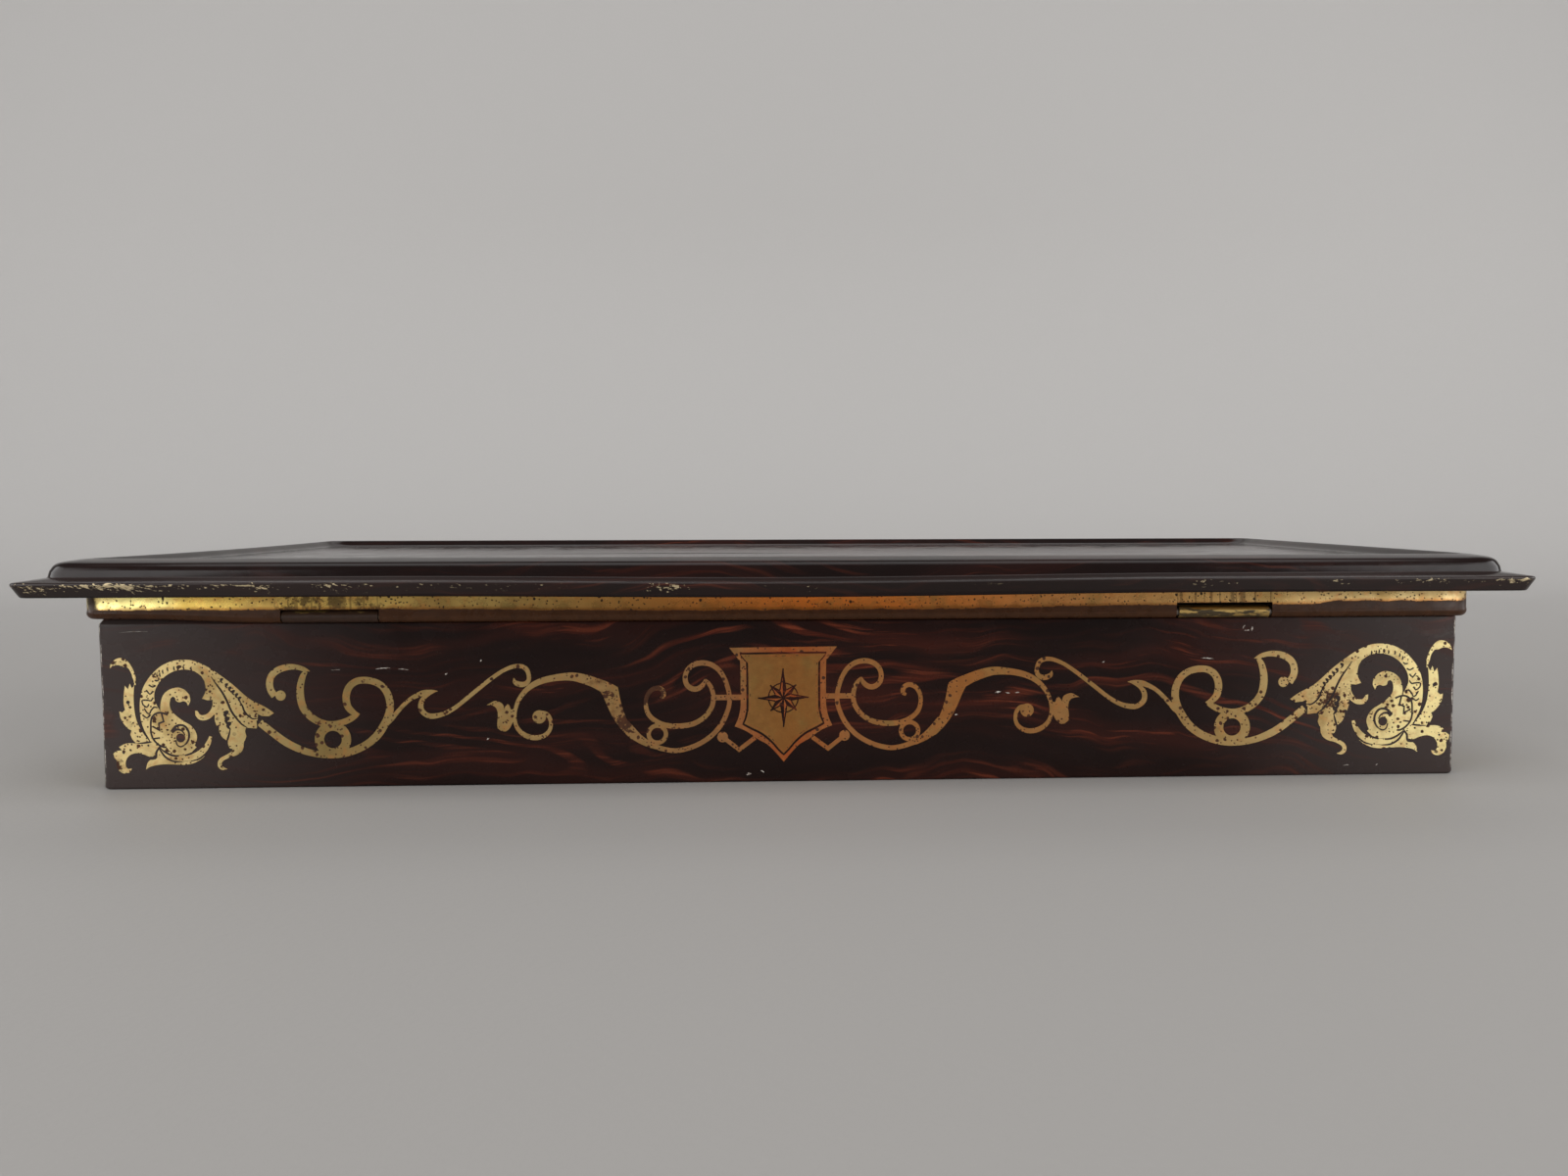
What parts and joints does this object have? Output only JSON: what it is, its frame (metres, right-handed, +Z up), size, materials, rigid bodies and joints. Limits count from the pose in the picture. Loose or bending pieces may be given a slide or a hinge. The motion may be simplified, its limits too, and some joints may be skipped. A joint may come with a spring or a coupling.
{
  "type": "biscuit tin",
  "caption": "Low oblong tinplate box with a wide moulded lid that turns on a wire hinge along its back edge.",
  "frame": {"origin": "middle of the footprint, on the surface that the tin stands on", "axes": "+X along the long sides, +Y towards the front, away from the hinges, +Z up"},
  "size_m": [0.2698, 0.1368, 0.0419],
  "materials": {
    "grained_tinplate": "dark red-brown grained print under glossy varnish",
    "gilt_print": "gold print with fine wear",
    "gilt_band": "gold varnish on tinplate, brown on the bead",
    "bare_tinplate": "dull bare tin",
    "iron_wire": "drawn iron wire"
  },
  "bodies": {
    "box": {"back_and_right_wall": "grained_tinplate", "front_and_left_wall": "grained_tinplate", "bottom_plate": "bare_tinplate", "hinge_tab_left": "bare_tinplate", "hinge_tab_right": "bare_tinplate"},
    "lid": {"lid_top": "grained_tinplate", "lid_skirt_back_right": "gilt_band", "lid_skirt_front_left": "gilt_band", "rim_wire": "iron_wire"}
  },
  "joints": [
    {"name": "lid_hinge", "type": "hinge", "parent": "box", "child": "lid", "pos_m": [0, -0.0592, 0.03128], "axis": [1, 0, 0], "range_deg": [0, 118]}
  ]
}
